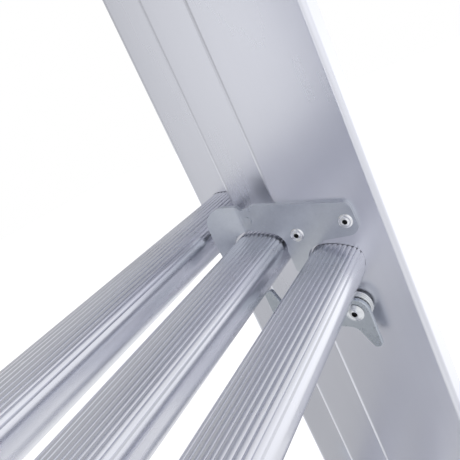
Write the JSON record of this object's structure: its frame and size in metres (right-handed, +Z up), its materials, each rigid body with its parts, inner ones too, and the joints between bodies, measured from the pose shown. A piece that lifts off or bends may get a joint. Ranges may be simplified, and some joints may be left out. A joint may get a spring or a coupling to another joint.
{
  "type": "attic ladder",
  "caption": "Three nested sliding ladder sections with hook plates, spring latches and fluted rungs, hung from a pair of hatch hinge brackets.",
  "frame": {"origin": "centre of the four hatch screw holes, on the brackets' mounting faces", "axes": "+X along the rungs, +Y out of the mounting faces and away from the climber, +Z up along the stiles"},
  "size_m": [0.467, 0.1621, 1.515],
  "materials": {
    "stile_aluminium": "satin mill finish, faint lengthwise drawing lines",
    "rung_aluminium": "satin mill finish, fluted tread",
    "hook_steel": "satin zinc plate",
    "latch_steel": "satin zinc plate",
    "zinc_steel": "satin zinc plate",
    "bolt_steel": "bright zinc plate",
    "spring_steel": "drawn wire",
    "rivet_aluminium": "bright",
    "black_plastic": "matte moulded",
    "foot_rubber": "matte"
  },
  "bodies": {
    "hatch_mount": {"left_hatch_bracket": "zinc_steel", "right_hatch_bracket": "zinc_steel", "hinge_bolts": "bolt_steel", "hinge_nuts": "bolt_steel", "hinge_washers": "bolt_steel"},
    "upper_section": {"left_hinge_lug": "zinc_steel", "right_hinge_lug": "zinc_steel", "hinge_lug_rivets": "rivet_aluminium", "upper_left_stile": "stile_aluminium", "upper_right_stile": "stile_aluminium", "upper_rung_1": "rung_aluminium", "upper_rung_2": "rung_aluminium", "upper_rung_3": "rung_aluminium", "upper_rung_4": "rung_aluminium", "upper_left_hook": "hook_steel", "upper_right_hook": "hook_steel", "upper_hook_rivets": "rivet_aluminium", "upper_latch_pins": "latch_steel", "upper_latch_springs": "spring_steel", "upper_end_caps": "black_plastic"},
    "middle_section": {"middle_left_stile": "stile_aluminium", "middle_right_stile": "stile_aluminium", "middle_rung_1": "rung_aluminium", "middle_rung_2": "rung_aluminium", "middle_rung_3": "rung_aluminium", "middle_rung_4": "rung_aluminium", "middle_rung_5": "rung_aluminium", "middle_left_hook": "hook_steel", "middle_right_hook": "hook_steel", "middle_hook_rivets": "rivet_aluminium", "middle_latch_pins": "latch_steel", "middle_latch_springs": "spring_steel", "middle_end_caps": "black_plastic", "middle_left_guide": "zinc_steel", "middle_right_guide": "zinc_steel", "middle_guide_rivets": "rivet_aluminium"},
    "lower_section": {"lower_left_stile": "stile_aluminium", "lower_right_stile": "stile_aluminium", "lower_rung_1": "rung_aluminium", "lower_rung_2": "rung_aluminium", "lower_rung_3": "rung_aluminium", "lower_rung_4": "rung_aluminium", "lower_rung_5": "rung_aluminium", "lower_left_guide": "zinc_steel", "lower_right_guide": "zinc_steel", "lower_guide_rivets": "rivet_aluminium", "lower_end_caps": "black_plastic", "left_foot": "foot_rubber", "right_foot": "foot_rubber"},
    "upper_left_latch": {"upper_left_latch": "latch_steel"},
    "upper_right_latch": {"upper_right_latch": "latch_steel"},
    "middle_left_latch": {"middle_left_latch": "latch_steel"},
    "middle_right_latch": {"middle_right_latch": "latch_steel"}
  },
  "joints": [
    {"name": "hatch_hinge", "type": "hinge", "parent": "hatch_mount", "child": "upper_section", "pos_m": [0, -0.085, 0], "axis": [-1, 0, 0], "range_deg": [0, 110]},
    {"name": "middle_slide", "type": "slide", "parent": "upper_section", "child": "middle_section", "axis": [0, 0, -1], "range_m": [0, 0.84]},
    {"name": "lower_slide", "type": "slide", "parent": "middle_section", "child": "lower_section", "axis": [0, 0, -1], "range_m": [0, 1.12]},
    {"name": "upper_left_latch_pivot", "type": "hinge", "parent": "upper_section", "child": "upper_left_latch", "pos_m": [0, -0.1267, -1.0563], "axis": [-1, 0, 0], "range_deg": [0, 80], "stiffness_Nm_per_rad": 0.05, "springref_deg": -34.38},
    {"name": "upper_right_latch_pivot", "type": "hinge", "parent": "upper_section", "child": "upper_right_latch", "pos_m": [0, -0.1267, -1.0563], "axis": [-1, 0, 0], "range_deg": [0, 80], "stiffness_Nm_per_rad": 0.05, "springref_deg": -34.38},
    {"name": "middle_left_latch_pivot", "type": "hinge", "parent": "middle_section", "child": "middle_left_latch", "pos_m": [0, -0.0852, -1.3178], "axis": [-1, 0, 0], "range_deg": [0, 80], "stiffness_Nm_per_rad": 0.05, "springref_deg": -34.38},
    {"name": "middle_right_latch_pivot", "type": "hinge", "parent": "middle_section", "child": "middle_right_latch", "pos_m": [0, -0.0852, -1.3178], "axis": [-1, 0, 0], "range_deg": [0, 80], "stiffness_Nm_per_rad": 0.05, "springref_deg": -34.38}
  ]
}
